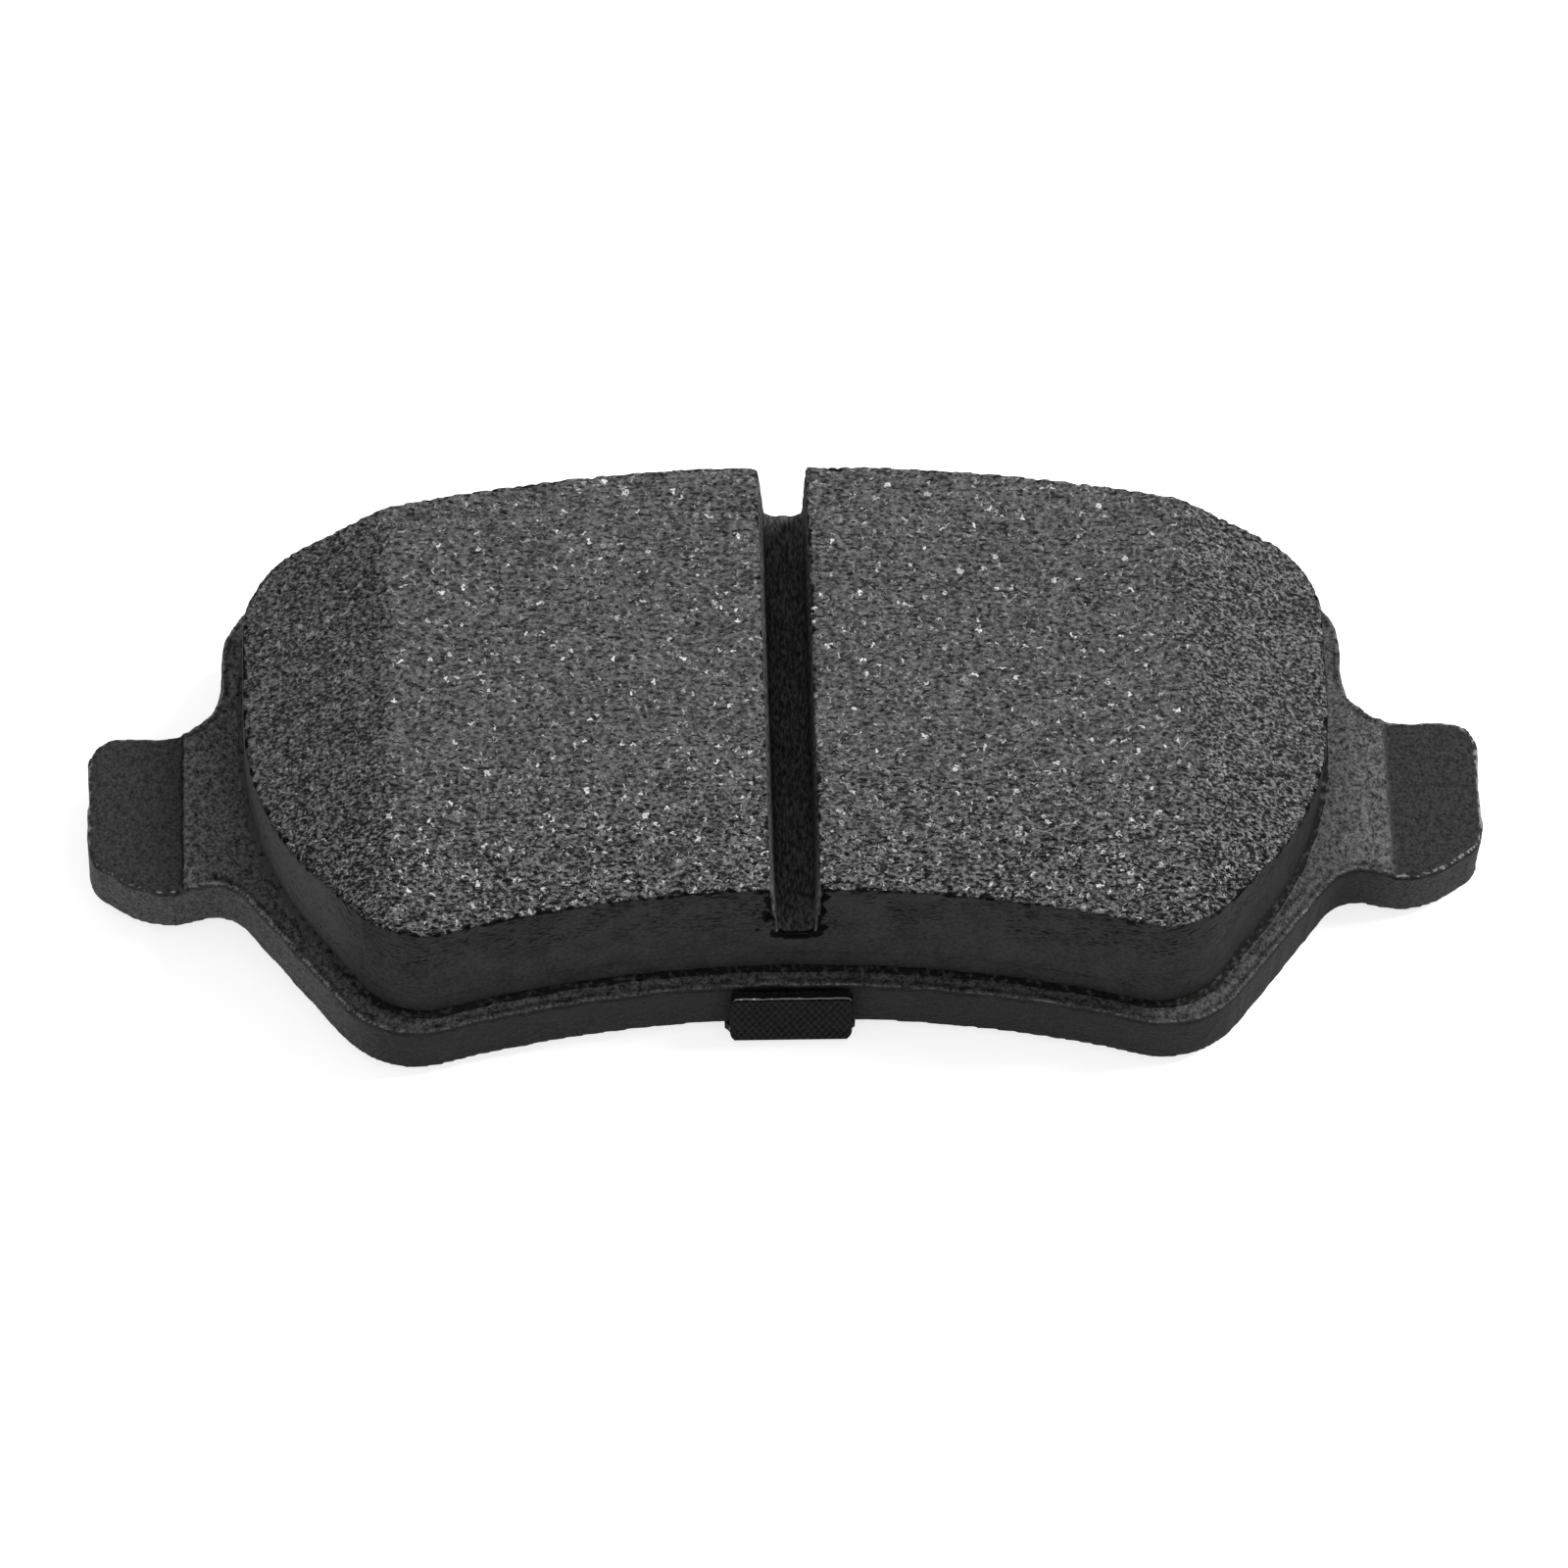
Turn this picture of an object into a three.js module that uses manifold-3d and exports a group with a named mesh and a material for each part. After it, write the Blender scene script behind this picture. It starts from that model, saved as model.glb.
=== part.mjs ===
// Rear disc brake pad: a steel backing plate with two guide ears, a moulded friction lining
// on its underlayer, and a rubber-coated steel shim that clips over the back of the plate.
// Millimetres. +X runs along the pad, +Y points away from the rotor's axis and +Z faces the
// rotor. Outlines are drawn about the rotor's axis, because every long edge is concentric
// with it, and the finished pad is then moved to stand on its own origin.
import * as THREE from "three";
import { mergeVertices } from "three/addons/utils/BufferGeometryUtils.js";
import Module from "manifold-3d";

const wasm = await Module();
wasm.setup();

// Overall sizes
const padLength = 95.5; // ear tip to ear tip
const plateInnerRadius = 94; // concave edge of the backing plate
const plateDepth = 36; // from the concave edge to the convex edge
const plateThickness = 5;
const liningThickness = 8.75; // friction material above the underlayer

// Backing plate
const earReach = 9.1; // shoulder to ear tip
const earHeight = 12.65;
const earDrop = 4.2; // ear's middle below the middle of the plate
const earHeelRun = 4.4; // slanted lower corner of the ear, along X
const earHeelRise = 3; // and along Y
const earHeelRadius = 5.5;
const earTipRadius = 2.2;
const earRootRadius = 3.9; // inside corner between ear and shoulder
const shoulderRadius = 5.4;
const neckInset = 0.6; // the neck under the ear is cut in past the shoulder
const neckRise = 1.3;
const neckRadius = 2.9;
const lobeFromShoulder = 10.75; // lower corner of the plate, inboard of the shoulder
const lobeRadius = 6.5;
const plateEdgeBreak = 0.15; // tumbled edge of the stamping
const coinLength = 6.45; // ear tip pressed flat to run in the bracket
const coinDepth = 0.35;

// Retention holes, which the underlayer flows into when it is moulded
const holeRadius = 4;
const outerHoleInset = 11; // from the end of the lining
const holePitch = 13.5;
const mouldShrinkage = 0.1; // radial gap left round each cured plug
const plugShortfall = 0.3; // plug ends below the back of the plate

// Friction lining and what bonds it
const liningSideMargin = 1.6; // ledge of bare plate at the ends
const liningArcMargin = 1.4; // ledge of bare plate along the arcs
const liningLobeInset = 0.9;
const liningLobeRadius = 5.5;
const liningFlankRise = 2; // straight flank starts this far above the neck
const liningFlankRadius = 22;
const liningCornerRadius = 5.4;
const filmThickness = 0.15;
const filmSpread = 0.4; // bonding resin squeezed out past the lining
const underlayerThickness = 2;
const slotMouthWidth = 3.3;
const slotFloorWidth = 2.6;
const slotDepth = 6.5;
const slotCornerRadius = 0.8;
const chamferLength = 9.9; // lead-in at each end of the lining
const chamferDrop = 5;

// Clip-on shim: adhesive, rubber, steel and rubber, counted from the plate
const shimMargin = 0.9; // shim edge inside the plate's edge
const shimLobeRadius = 6;
const shimFlankRadius = 12;
const shimAdhesiveThickness = 0.12;
const adhesiveMargin = 0.5; // adhesive edge inside the shim's edge
const shimRubberInnerThickness = 0.13;
const shimSteelThickness = 0.5;
const shimRubberOuterThickness = 0.15;
const tabWidth = 8;
const tabGap = 0.3; // between a clip tab and the plate's edge
const tabBendRadius = 0.4;
const tabShortfall = 0.35; // tab ends below the plate's front face
const tabTipRadius = 0.5;
const upperTabAngle = 10.5; // degrees round the rotor's axis

// Curve steps
const arcSteps = 12; // along half of a long arc
const filletStep = 7; // degrees
const usableEdge = 0.98; // of an edge between two fillets

// Heights, from the outer face of the shim to the friction face
const shimCoreThickness =
  shimRubberInnerThickness + shimSteelThickness + shimRubberOuterThickness;
const plateBack = shimCoreThickness + shimAdhesiveThickness;
const plateFront = plateBack + plateThickness;
const underlayerBase = plateFront + filmThickness;
const liningBase = underlayerBase + underlayerThickness;
const liningFace = liningBase + liningThickness;

// Places that several pieces share
const plateOuterRadius = plateInnerRadius + plateDepth;
const plateMiddle = plateInnerRadius + plateDepth / 2;
const shoulderX = padLength / 2 - earReach;
const lobeX = shoulderX - lobeFromShoulder;
const earMiddle = plateMiddle - earDrop;
const earTop = earMiddle + earHeight / 2;
const earBottom = earMiddle - earHeight / 2;
const neckY = earBottom + neckRise;
const liningEnd = shoulderX - liningSideMargin;
const liningInnerRadius = plateInnerRadius + liningArcMargin;
const liningOuterRadius = plateOuterRadius - liningArcMargin;
const outerHoleX = liningEnd - outerHoleInset;

// Outlines

function onCircle(radius, x, cornerRadius = 0) {
  return { x, y: Math.sqrt(radius * radius - x * x), cornerRadius };
}

// Points along a circle about the rotor's axis, from one X to another.
function alongCircle(radius, fromX, toX) {
  const points = [];
  for (let i = 0; i <= arcSteps; i += 1) {
    points.push(onCircle(radius, fromX + ((toX - fromX) * i) / arcSteps));
  }
  return points;
}

// The way from one corner to the next.
function runBetween(from, to) {
  return new THREE.Vector2(to.x - from.x, to.y - from.y);
}

// How far the outline turns at a corner, in radians, left being positive.
function turnAt(corners, index) {
  const incoming = runBetween(corners[index - 1], corners[index]);
  const outgoing = runBetween(corners[index], corners[index + 1]);
  return Math.atan2(incoming.cross(outgoing), incoming.dot(outgoing));
}

// How far each corner's fillet reaches along its two edges. Where two fillets need more than
// the whole edge between them, the edge is shared out and both become tighter.
function filletReaches(corners) {
  const wanted = corners.map((corner, index) => {
    const half = corner.cornerRadius ? Math.abs(turnAt(corners, index)) / 2 : 0;
    return (corner.cornerRadius ?? 0) * Math.tan(half);
  });
  return wanted.map((reach, index) => {
    const shares = [index - 1, index + 1]
      .filter((next) => reach > 0 && next >= 0 && next < corners.length)
      .map((next) => {
        const edge = runBetween(corners[index], corners[next]).length();
        return (usableEdge * edge) / (reach + wanted[next]);
      });
    return reach * Math.min(1, ...shares);
  });
}

// Replaces each corner that has a radius by a tangent arc.
function withFillets(corners) {
  const reaches = filletReaches(corners);
  const points = [];
  corners.forEach((corner, index) => {
    const apex = new THREE.Vector2(corner.x, corner.y);
    if (reaches[index] === 0) {
      points.push(apex);
      return;
    }
    const turn = turnAt(corners, index);
    const incoming = runBetween(corners[index - 1], corner).normalize();
    const start = apex.addScaledVector(incoming, -reaches[index]);
    const radius = reaches[index] / Math.tan(turn / 2);
    const toCentre = new THREE.Vector2(-incoming.y, incoming.x);
    const centre = start.clone().addScaledVector(toCentre, radius);
    const steps = Math.max(2, Math.ceil(THREE.MathUtils.radToDeg(Math.abs(turn)) / filletStep));
    for (let i = 0; i <= steps; i += 1) {
      points.push(start.clone().rotateAround(centre, (turn * i) / steps));
    }
  });
  return points;
}

// A closed shape from its right half, which runs from the inner edge up to the outer edge.
function mirroredShape(rightHalf) {
  const right = withFillets(rightHalf);
  const left = right
    .filter((point) => point.x > 1e-6)
    .reverse()
    .map((point) => new THREE.Vector2(-point.x, point.y));
  return new THREE.Shape([...right, ...left]);
}

function plateShape() {
  const tipX = padLength / 2;
  const lobe = onCircle(plateInnerRadius, lobeX, lobeRadius);
  const shoulder = onCircle(plateOuterRadius, shoulderX, shoulderRadius);
  return mirroredShape([
    ...alongCircle(plateInnerRadius, 0, lobeX - lobeRadius),
    lobe,
    { x: shoulderX - neckInset, y: neckY, cornerRadius: neckRadius },
    { x: tipX - earHeelRun, y: earBottom, cornerRadius: earHeelRadius },
    { x: tipX, y: earBottom + earHeelRise, cornerRadius: earTipRadius },
    { x: tipX, y: earTop, cornerRadius: earTipRadius },
    { x: shoulderX, y: earTop, cornerRadius: earRootRadius },
    shoulder,
    ...alongCircle(plateOuterRadius, shoulderX - 1.5 * shoulderRadius, 0),
  ]);
}

// The plate's shape without its ears, drawn in by a margin: lining, film, shim and adhesive.
function bodyShape({ end, inner, outer, lobe, lobeRound, flankY, flankRound, cornerRound }) {
  return mirroredShape([
    ...alongCircle(inner, 0, lobe - 1.2 * lobeRound),
    onCircle(inner, lobe, lobeRound),
    { x: end, y: flankY, cornerRadius: flankRound },
    onCircle(outer, end, cornerRound),
    ...alongCircle(outer, end - 1.5 * cornerRound, 0),
  ]);
}

// The lining's outline, or one that stands out past it all round.
function liningShape(spread = 0) {
  return bodyShape({
    end: liningEnd + spread,
    inner: liningInnerRadius - spread,
    outer: liningOuterRadius + spread,
    lobe: lobeX - liningLobeInset + spread / 2,
    lobeRound: liningLobeRadius + spread,
    flankY: neckY + liningFlankRise - spread / 2,
    flankRound: liningFlankRadius + spread,
    cornerRound: liningCornerRadius + spread,
  });
}

function shimShape(margin) {
  return bodyShape({
    end: shoulderX - margin,
    inner: plateInnerRadius + margin,
    outer: plateOuterRadius - margin,
    lobe: lobeX - margin / 2,
    lobeRound: shimLobeRadius,
    flankY: neckY + margin,
    flankRound: shimFlankRadius,
    cornerRound: shoulderRadius,
  });
}

// Solids

function toSolid(geometry) {
  const bare = geometry.clone();
  bare.deleteAttribute("normal");
  bare.deleteAttribute("uv");
  const merged = mergeVertices(bare);
  return new wasm.Manifold(
    new wasm.Mesh({
      numProp: 3,
      vertProperties: new Float32Array(merged.attributes.position.array),
      triVerts: new Uint32Array(merged.index.array),
    }),
  );
}

function toGeometry(solid) {
  const { vertProperties, triVerts } = solid.getMesh();
  const geometry = new THREE.BufferGeometry();
  geometry.setAttribute("position", new THREE.BufferAttribute(vertProperties, 3));
  geometry.setIndex(new THREE.BufferAttribute(triVerts, 1));
  geometry.computeVertexNormals();
  return geometry;
}

// A flat slab of a shape between two heights.
function slab(shape, low, high) {
  const geometry = new THREE.ExtrudeGeometry(shape, { depth: high - low, bevelEnabled: false });
  return geometry.translate(0, 0, low);
}

function box(low, high) {
  const size = new THREE.Vector3().subVectors(high, low);
  const middle = new THREE.Vector3().addVectors(low, high).multiplyScalar(0.5);
  return new THREE.BoxGeometry(size.x, size.y, size.z).translate(middle.x, middle.y, middle.z);
}

function pegAt(x, radius, low, high) {
  const peg = new THREE.CylinderGeometry(radius, radius, high - low, 32);
  peg.rotateX(Math.PI / 2);
  return peg.translate(x, plateMiddle, (low + high) / 2);
}

function holePlaces() {
  const innerHoleX = outerHoleX - holePitch;
  return [-outerHoleX, -innerHoleX, innerHoleX, outerHoleX];
}

// Stamped plate with broken edges, coined ear tips and four retention holes.
function backingPlate() {
  const stamping = new THREE.ExtrudeGeometry(plateShape(), {
    depth: plateThickness - 2 * plateEdgeBreak,
    bevelThickness: plateEdgeBreak,
    bevelSize: plateEdgeBreak,
    bevelOffset: -plateEdgeBreak,
    bevelSegments: 2,
  });
  stamping.translate(0, 0, plateBack + plateEdgeBreak);
  let plate = toSolid(stamping);
  for (const side of [-1, 1]) {
    const innerX = side * (padLength / 2 - coinLength);
    const outerX = side * padLength;
    const low = new THREE.Vector3(Math.min(innerX, outerX), 0, plateFront - coinDepth);
    const high = new THREE.Vector3(Math.max(innerX, outerX), plateOuterRadius, liningFace);
    plate = plate.subtract(toSolid(box(low, high)));
  }
  for (const x of holePlaces()) {
    plate = plate.subtract(toSolid(pegAt(x, holeRadius, 0, liningFace)));
  }
  return toGeometry(plate);
}

// Cured phenolic film, open over the retention holes.
function bondingFilm() {
  let film = toSolid(slab(liningShape(filmSpread), plateFront, underlayerBase));
  for (const x of holePlaces()) {
    film = film.subtract(toSolid(pegAt(x, holeRadius, 0, liningFace)));
  }
  return toGeometry(film);
}

// Underlayer, with the plugs that key it into the plate.
function underlayer() {
  let layer = toSolid(slab(liningShape(), underlayerBase, liningBase));
  const plugEnd = plateBack + plugShortfall;
  const plugTop = (underlayerBase + liningBase) / 2;
  for (const x of holePlaces()) {
    layer = layer.add(toSolid(pegAt(x, holeRadius - mouldShrinkage, plugEnd, plugTop)));
  }
  return toGeometry(layer);
}

// Section of the central slot, open at the friction face and slightly wider there.
function slotSection() {
  const floor = liningFace - slotDepth;
  const mouth = liningFace + 1;
  const flare = ((slotMouthWidth - slotFloorWidth) / 2 / slotDepth) * (mouth - floor);
  const half = slotFloorWidth / 2;
  const round = Math.min(slotCornerRadius, half);
  const section = new THREE.Shape();
  section.moveTo(half + flare, mouth);
  section.lineTo(-half - flare, mouth);
  section.lineTo(-half, floor + round);
  section.absarc(-half + round, floor + round, round, Math.PI, 1.5 * Math.PI, false);
  section.absarc(half - round, floor + round, round, 1.5 * Math.PI, 2 * Math.PI, false);
  section.closePath();
  return section;
}

// Section of the wedge that the end chamfer takes off.
function chamferSection() {
  const startX = liningEnd - chamferLength;
  const slope = chamferDrop / chamferLength;
  const overrun = 1;
  const section = new THREE.Shape();
  section.moveTo(startX - overrun, liningFace + slope * overrun);
  section.lineTo(liningEnd + overrun, liningFace - chamferDrop - slope * overrun);
  section.lineTo(liningEnd + overrun, liningFace + slope * overrun);
  section.closePath();
  return section;
}

// Runs a section drawn in X and Z right through the pad along Y.
function throughPad(section) {
  const run = new THREE.ExtrudeGeometry(section, {
    depth: plateOuterRadius,
    bevelEnabled: false,
    curveSegments: 5,
  });
  run.rotateX(Math.PI / 2);
  return run.translate(0, plateOuterRadius + 1, 0);
}

// Moulded lining with its central slot and its end chamfers.
function frictionLining() {
  const chamfer = toSolid(throughPad(chamferSection()));
  const lining = toSolid(slab(liningShape(), liningBase, liningFace))
    .subtract(toSolid(throughPad(slotSection())))
    .subtract(chamfer)
    .subtract(chamfer.mirror([1, 0, 0]));
  return toGeometry(lining);
}

// Section of one layer of a clip tab: under the plate, round the bend and up the leg.
// The layer lies between two depths below the face of the shim that meets the plate.
function tabSection(near, far) {
  const centreX = tabGap - tabBendRadius;
  const legTop = shimAdhesiveThickness + plateThickness - tabShortfall;
  const rootX = centreX - shimMargin - tabWidth / 2;
  const section = new THREE.Shape();
  section.moveTo(rootX, -near);
  section.lineTo(centreX, -near);
  section.absarc(centreX, tabBendRadius, tabBendRadius + near, -Math.PI / 2, 0, false);
  section.lineTo(tabGap + near, legTop);
  section.lineTo(tabGap + far, legTop);
  section.absarc(centreX, tabBendRadius, tabBendRadius + far, 0, -Math.PI / 2, true);
  section.lineTo(rootX, -far);
  section.closePath();
  return section;
}

// Front view of a tab, which rounds the two corners of its tip.
function tabFront() {
  const half = tabWidth / 2;
  const top = shimAdhesiveThickness + plateThickness - tabShortfall;
  const front = new THREE.Shape();
  front.moveTo(-half, -plateBack);
  front.lineTo(half, -plateBack);
  front.absarc(half - tabTipRadius, top - tabTipRadius, tabTipRadius, 0, Math.PI / 2, false);
  front.absarc(-half + tabTipRadius, top - tabTipRadius, tabTipRadius, Math.PI / 2, Math.PI, false);
  front.closePath();
  return front;
}

// A layer of one tab, at an angle round the rotor's axis from the middle of an edge.
function tabLayer(near, far, edgeRadius, outwardSign, angle) {
  const strip = new THREE.ExtrudeGeometry(tabSection(near, far), {
    depth: tabWidth + 2,
    bevelEnabled: false,
    curveSegments: 6,
  });
  strip.translate(0, 0, -tabWidth / 2 - 1);
  const frontCut = new THREE.ExtrudeGeometry(tabFront(), {
    depth: 2 * tabWidth,
    bevelEnabled: false,
    curveSegments: 4,
  });
  frontCut.translate(0, 0, -tabWidth);
  frontCut.rotateY(Math.PI / 2);
  const tab = toSolid(strip).intersect(toSolid(frontCut));
  const outward = new THREE.Vector3(0, outwardSign, 0);
  const up = new THREE.Vector3(0, 0, 1);
  const across = new THREE.Vector3().crossVectors(outward, up);
  const place = new THREE.Matrix4().makeRotationZ(THREE.MathUtils.degToRad(angle));
  place.multiply(new THREE.Matrix4().makeTranslation(0, edgeRadius, shimCoreThickness));
  place.multiply(new THREE.Matrix4().makeBasis(outward, up, across));
  return toSolid(toGeometry(tab).applyMatrix4(place));
}

// One layer of the shim: its flat sheet and its three clip tabs.
function shimLayer(near, far) {
  const sheet = slab(shimShape(shimMargin), shimCoreThickness - far, shimCoreThickness - near);
  let layer = toSolid(sheet).add(tabLayer(near, far, plateInnerRadius, -1, 0));
  for (const angle of [-upperTabAngle, upperTabAngle]) {
    layer = layer.add(tabLayer(near, far, plateOuterRadius, 1, angle));
  }
  return toGeometry(layer);
}

function shimAdhesive() {
  return slab(shimShape(shimMargin + adhesiveMargin), shimCoreThickness, plateBack);
}

// The assembly

const pad = new THREE.Group();

function addPiece(name, geometry, color, roughness, metalness) {
  const material = new THREE.MeshStandardMaterial({ color, roughness, metalness });
  const piece = new THREE.Mesh(geometry, material);
  piece.name = name;
  pad.add(piece);
}

const steelNear = shimRubberInnerThickness;
const steelFar = steelNear + shimSteelThickness;

addPiece("backing_plate", backingPlate(), 0x303030, 0.6, 0.2);
addPiece("bonding_film", bondingFilm(), 0x3a2f22, 0.5, 0);
addPiece("underlayer", underlayer(), 0x333333, 0.8, 0);
addPiece("friction_lining", frictionLining(), 0x555555, 0.9, 0);
addPiece("shim_adhesive", shimAdhesive(), 0x9a958a, 0.5, 0);
addPiece("shim_rubber_inner", shimLayer(0, steelNear), 0x1c1c1c, 0.7, 0);
addPiece("shim_steel", shimLayer(steelNear, steelFar), 0xa0a2a4, 0.4, 0.9);
addPiece("shim_rubber_outer", shimLayer(steelFar, shimCoreThickness), 0x1a1a1a, 0.7, 0);

// The origin is under the middle of the pad, on the outer face of the shim.
const extent = new THREE.Box3().setFromObject(pad);
pad.position.y = -(extent.min.y + extent.max.y) / 2;

export default pad;
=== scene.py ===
import math

import bmesh
import bpy
import numpy as np
from mathutils import Matrix, Vector, kdtree, noise
from mathutils.bvhtree import BVHTree


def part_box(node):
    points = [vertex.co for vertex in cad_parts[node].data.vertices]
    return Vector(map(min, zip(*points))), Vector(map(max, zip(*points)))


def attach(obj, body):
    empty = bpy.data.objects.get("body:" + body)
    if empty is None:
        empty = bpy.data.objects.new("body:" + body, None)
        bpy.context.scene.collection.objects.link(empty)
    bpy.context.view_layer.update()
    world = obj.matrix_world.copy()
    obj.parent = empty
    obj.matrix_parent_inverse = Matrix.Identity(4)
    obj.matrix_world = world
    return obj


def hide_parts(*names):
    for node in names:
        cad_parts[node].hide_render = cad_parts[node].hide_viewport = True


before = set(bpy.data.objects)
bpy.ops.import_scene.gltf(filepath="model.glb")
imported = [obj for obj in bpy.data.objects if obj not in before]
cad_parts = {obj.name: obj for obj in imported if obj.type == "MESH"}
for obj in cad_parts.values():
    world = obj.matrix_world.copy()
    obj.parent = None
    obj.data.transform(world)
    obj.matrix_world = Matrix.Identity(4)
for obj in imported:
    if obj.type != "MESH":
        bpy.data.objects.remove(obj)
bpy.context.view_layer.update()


# Backing plate. Stamped from 5 mm steel, tumbled and shot blasted so that the resin keys to it,
# then powder coated black. Its ear tips are coined flat, and stay smooth, to slide in the bracket.

MM = 0.001

PLATE_INNER_RADIUS = 94  # about the rotor's axis
PLATE_OUTER_RADIUS = 130
PLATE_VOXEL = 0.2
PLATE_FACES = 190000
FAR_AWAY = 9.0  # stands for a point that has no edge near it
LIES_FLAT = 0.7  # upward lean of a normal, from which a face counts as lying flat
STANDS_UP = 0.5  # and below which it counts as an edge
OUTLINE_TOP = 0.7  # the outline is traced between these depths below the top
OUTLINE_FOOT = 1.2
BLAST_DEPTH = 0.07  # craters of the blasted face, under the coat
COIN_SMOOTH = 0.75  # share of them that the coining presses out
EDGE_BLAST = 0.25  # and the share that the stamped edge takes
LEDGE_GROOVE = 0.09  # run of thin coat just inside the stamped edge
GROOVE_INSET = 0.42
SECOND_INSET = 1.25  # the coat runs thin a second time beside the inner edge
GROOVE_WIDTH = 0.14
SECOND_ALONG = (38, 34)  # it fades out between these distances from the middle
SECOND_ACROSS = (-6, -10)
EDGE_WANDER = 0.12
EDGE_WAVE = 0.03
TOP_SHADE_DEPTH = 0.35  # a line of painted shade runs just below the top of the stamped edge
TOP_SHADE_WIDTH = 0.16
RIM_INSET = 0.1  # and wears through along the rim, painted light, partly as the highlight along the edge
RIM_WIDTH = 0.2
CLEAN_FROM = (-33, -26)  # the die sheared the edge cleanly from here, and the edge's faces get the most painted shade here
CLEAN_TO = (42, 38)
EAR_ROOT = (36, 40)  # the blasting is deepest from here out
KNOCKED_END = (-24, -28)  # the rim is more worn from here to the left
COIN_LENGTH = 6.45
COIN_STEP = 0.2
COIN_SHADE_WIDTH = 0.16  # half width of the painted shade in the step where the coining stops
COAT_DARK = (0.012, 0.012, 0.012, 1)
COAT_LIGHT = (0.062, 0.062, 0.062, 1)
BLAST_DARK = (0.025, 0.025, 0.025, 1)
BLAST_LIGHT = (0.23, 0.23, 0.23, 1)
GROOVE_SHADE_BLACK = (0.004, 0.004, 0.004, 1)
COAT_WORN_AND_HIGHLIGHT = (0.24, 0.24, 0.24, 1)
NICKS = (  # x, y, reach and depth of each dent
    (-47.6, -1.1, 0.65, 0.3),
    (47.6, -5.2, 0.5, 0.2),
    (-38.9, -14, 0.5, 0.2),
)


class Wire:
    """One socket of a material, so that its maths reads as plain expressions."""

    def __init__(self, tree, socket=None):
        self.tree = tree
        self.socket = socket

    def add(self, kind, settings=None, sockets=None, output=0):
        """Adds a node: first its settings, then the value or the wire of each socket."""
        node = self.tree.nodes.new("ShaderNode" + kind)
        for name, value in (settings or {}).items():
            setattr(node, name, value)
        for name, value in (sockets or {}).items():
            if isinstance(value, Wire):
                self.tree.links.new(value.socket, node.inputs[name])
            else:
                node.inputs[name].default_value = value
        return Wire(self.tree, node.outputs[output] if node.outputs else None)

    def maths(self, operation, *values):
        return self.add("Math", {"operation": operation}, dict(enumerate(values)))

    def __add__(self, other):
        return self.maths("ADD", self, other)

    def __sub__(self, other):
        return self.maths("SUBTRACT", self, other)

    def __rsub__(self, other):
        return self.maths("SUBTRACT", other, self)

    def __mul__(self, other):
        return self.maths("MULTIPLY", self, other)

    __radd__ = __add__
    __rmul__ = __mul__

    def step(self, low, high):
        """0 at low, 1 at high and smooth between them, whichever is larger."""
        sockets = {"Value": self, "From Min": low, "From Max": high}
        return self.add("MapRange", {"interpolation_type": "SMOOTHSTEP"}, sockets)

    def part(self, axis):
        return self.add("SeparateXYZ", None, {"Vector": self}, axis)

    def mask(self, name):
        """The share that write_mask stored under that name."""
        return self.add("Attribute", {"attribute_name": name}, output="Fac")

    def stretched(self, x, y, z):
        return self.add("VectorMath", {"operation": "MULTIPLY"}, {0: self, 1: (x, y, z)})

    def moved(self, x, y, z):
        return self.add("VectorMath", {"operation": "ADD"}, {0: self, 1: (x, y, z)})

    def mottle(self, size, detail=1.0, fray=0.5):
        """Soft noise round 0.5 with lumps about that many millimetres apart."""
        sockets = {"Vector": self, "Scale": 1 / size, "Detail": detail, "Roughness": fray}
        return self.add("TexNoise", None, sockets)

    def flecks(self, spacing, width, share):
        """Grains of mixed strength on a flat face, in that share of the cells of a loose scatter."""
        flat = {"voronoi_dimensions": "2D"}
        sockets = {"Vector": self, "Scale": 1 / spacing}
        reach = width / 2 / spacing
        near = self.add("TexVoronoi", flat, sockets).step(1.3 * reach, 0.7 * reach)
        draw = self.add("TexVoronoi", flat, sockets, "Color").part("Z")
        return near * draw.maths("LESS_THAN", draw, share) * (0.3 + draw * (0.7 / share))

    def paint(self, base, top):
        """The colour top laid over base where this wire is 1."""
        return self.add("Mix", {"data_type": "RGBA"}, {0: self, 6: base, 7: top}, 2)


def new_finish(name):
    """A material, and the wire that carries the piece's own coordinates in millimetres."""
    material = bpy.data.materials.new(name)
    material.use_nodes = True
    material.node_tree.nodes.clear()
    start = Wire(material.node_tree)
    place = start.add("TexCoord", output="Object").stretched(1 / MM, 1 / MM, 1 / MM)
    return material, place


def close_finish(material, colour, height, roughness, **constants):
    """Ends a material: height is relief in millimetres, and constants go on the shader itself."""
    start = Wire(material.node_tree)
    normal = start.add("Bump", None, {"Height": height, "Distance": MM})
    sockets = {"Base Color": colour, "Roughness": roughness, "Normal": normal}
    sockets.update({name.replace("_", " "): value for name, value in constants.items()})
    shader = start.add("BsdfPrincipled", None, sockets)
    start.add("OutputMaterial", None, {"Surface": shader})


def new_piece(name, mesh):
    """A new object that shows that mesh."""
    piece = bpy.data.objects.new(name, mesh)
    bpy.context.scene.collection.objects.link(piece)
    return piece


def apply_modifiers(piece):
    """Turns what a piece's modifiers show into its own mesh."""
    shown = piece.evaluated_get(bpy.context.evaluated_depsgraph_get())
    piece.data = bpy.data.meshes.new_from_object(shown)
    piece.modifiers.clear()


def make_even(piece, voxel):
    """Rebuilds a piece as an even, closed mesh that can take fine relief."""
    rebuild = piece.modifiers.new("even mesh", "REMESH")
    rebuild.mode = "VOXEL"
    rebuild.voxel_size = voxel * MM
    rebuild.use_smooth_shade = True
    apply_modifiers(piece)


def thin_out(piece, faces):
    """Takes faces away where the mesh is flattest, down to that many triangles."""
    triangles = sum(len(face.vertices) - 2 for face in piece.data.polygons)
    thinner = piece.modifiers.new("fewer faces", "DECIMATE")
    thinner.ratio = min(1.0, faces / triangles)
    apply_modifiers(piece)


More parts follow.
